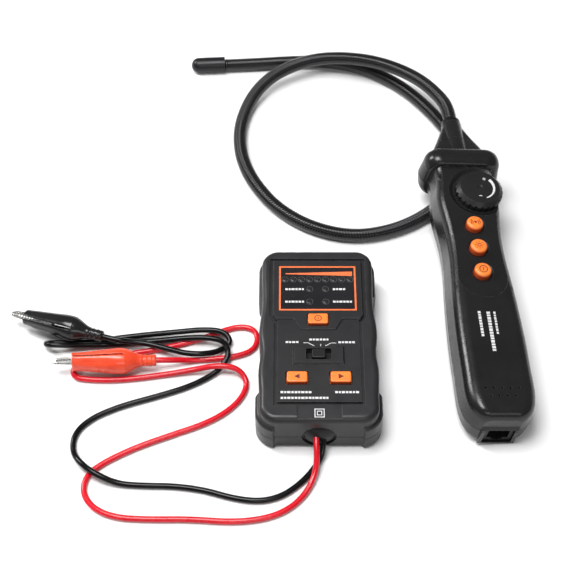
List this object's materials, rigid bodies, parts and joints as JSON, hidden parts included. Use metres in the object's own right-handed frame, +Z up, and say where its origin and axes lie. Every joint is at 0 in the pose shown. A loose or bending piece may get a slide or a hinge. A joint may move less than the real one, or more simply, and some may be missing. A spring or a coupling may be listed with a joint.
{
  "type": "tone probe kit",
  "caption": "Cable tracing kit: keypad transmitter with red and black clip leads, and a handheld receiver with a gooseneck probe and thumb dial.",
  "frame": {"origin": "centre of the transmitter's underside, on the table", "axes": "+Z up, +Y towards the transmitter's far end, +X to the right, where the receiver lies"},
  "size_m": [0.2923, 0.3491, 0.0431],
  "materials": {
    "case": "fine satin texture",
    "panel": "satin",
    "window": "smoked gloss",
    "lamp_lens": "clear",
    "orange_key": "satin gloss",
    "dial": "satin",
    "rubber": "glossy",
    "red_wire": "silicone gloss",
    "black_wire": "silicone gloss",
    "red_boot": "soft vinyl gloss",
    "black_boot": "soft vinyl satin",
    "plated_steel": "bright plated",
    "screw_steel": "zinc",
    "board": "solder mask",
    "component": "moulded",
    "battery": "plain jacket",
    "neck": "ribbed gloss",
    "copper": "enamelled wire"
  },
  "bodies": {
    "transmitter": {"transmitter_front_shell": "case", "transmitter_back_shell": "case", "face_panel": "panel", "display_bezel": "panel", "display_window": "window", "sequence_lamps": "lamp_lens", "status_lamps": "lamp_lens", "mode_switch_body": "component", "transmitter_circuit_board": "board", "transmitter_tact_switches": "component", "transmitter_battery": "battery", "transmitter_battery_clip": "component", "transmitter_battery_door": "case", "transmitter_door_screw": "screw_steel", "transmitter_case_screws": "screw_steel", "network_socket": "component", "lead_grommet": "rubber", "red_lead": "red_wire", "black_lead": "black_wire", "red_clip_fixed_jaw": "plated_steel", "red_clip_pin": "plated_steel", "red_clip_spring": "screw_steel", "red_boot_half": "red_boot", "black_clip_fixed_jaw": "plated_steel", "black_clip_pin": "plated_steel", "black_clip_spring": "screw_steel", "black_boot_half": "black_boot"},
    "transmitter_power_button": {"transmitter_power_button": "orange_key"},
    "left_arrow_button": {"left_arrow_button": "orange_key"},
    "right_arrow_button": {"right_arrow_button": "orange_key"},
    "mode_slider": {"mode_slider": "dial"},
    "red_clip_jaw": {"red_clip_moving_jaw": "plated_steel", "red_boot_flap": "red_boot"},
    "black_clip_jaw": {"black_clip_moving_jaw": "plated_steel", "black_boot_flap": "black_boot"},
    "receiver": {"receiver_front_shell": "case", "receiver_back_shell": "case", "nose_cap": "case", "gooseneck_ferrule": "rubber", "gooseneck": "neck", "probe_tip": "rubber", "sensing_coil": "copper", "sensitivity_potentiometer": "component", "receiver_tact_switches": "component", "receiver_circuit_board": "board", "receiver_battery": "battery", "receiver_battery_clip": "component", "receiver_sounder": "component", "receiver_battery_door": "case", "receiver_door_screw": "screw_steel", "receiver_case_screws": "screw_steel", "tail_socket": "component", "work_lamp": "lamp_lens"},
    "sensitivity_dial": {"sensitivity_dial": "dial"},
    "scan_button": {"scan_button": "orange_key"},
    "lamp_button": {"lamp_button": "orange_key"},
    "receiver_power_button": {"receiver_power_button": "orange_key"}
  },
  "joints": [
    {"name": "receiver_lift", "type": "slide", "parent": "transmitter", "child": "receiver", "axis": [0, 0, 1], "range_m": [0, 0.15]},
    {"name": "transmitter_power_press", "type": "slide", "parent": "transmitter", "child": "transmitter_power_button", "axis": [0, 0, -1], "range_m": [0, 0.0008], "stiffness_N_per_m": 600, "springref_m": -0.0008},
    {"name": "left_arrow_press", "type": "slide", "parent": "transmitter", "child": "left_arrow_button", "axis": [0, 0, -1], "range_m": [0, 0.0008], "stiffness_N_per_m": 600, "springref_m": -0.0008},
    {"name": "right_arrow_press", "type": "slide", "parent": "transmitter", "child": "right_arrow_button", "axis": [0, 0, -1], "range_m": [0, 0.0008], "stiffness_N_per_m": 600, "springref_m": -0.0008},
    {"name": "mode_slide", "type": "slide", "parent": "transmitter", "child": "mode_slider", "axis": [1, 0, 0], "range_m": [-0.0029, 0.0029]},
    {"name": "dial_turn", "type": "hinge", "parent": "receiver", "child": "sensitivity_dial", "pos_m": [0.09649, 0.09593, 0.03692], "axis": [0.1079, -0.0418, 0.9933], "range_deg": [-140, 140]},
    {"name": "scan_press", "type": "slide", "parent": "receiver", "child": "scan_button", "axis": [-0.1079, 0.0418, -0.9933], "range_m": [0, 0.0008], "stiffness_N_per_m": 600, "springref_m": -0.0008},
    {"name": "lamp_press", "type": "slide", "parent": "receiver", "child": "lamp_button", "axis": [-0.1079, 0.0418, -0.9933], "range_m": [0, 0.0008], "stiffness_N_per_m": 600, "springref_m": -0.0008},
    {"name": "receiver_power_press", "type": "slide", "parent": "receiver", "child": "receiver_power_button", "axis": [-0.1079, 0.0418, -0.9933], "range_m": [0, 0.0008], "stiffness_N_per_m": 600, "springref_m": -0.0008},
    {"name": "red_clip_open", "type": "hinge", "parent": "transmitter", "child": "red_clip_jaw", "pos_m": [-0.1267, -0.0078, 0.0093], "axis": [0.0574, 0.0036, 0.9983], "range_deg": [0, 22], "stiffness_Nm_per_rad": 0.02, "springref_deg": -17.19, "deforming": ["red_boot_flap", "red_clip_spring"]},
    {"name": "black_clip_open", "type": "hinge", "parent": "transmitter", "child": "black_clip_jaw", "pos_m": [-0.1542, 0.0188, 0.00964], "axis": [0.1558, 0.5669, -0.8089], "range_deg": [0, 22], "stiffness_Nm_per_rad": 0.02, "springref_deg": -17.19, "deforming": ["black_boot_flap", "black_clip_spring"]}
  ]
}
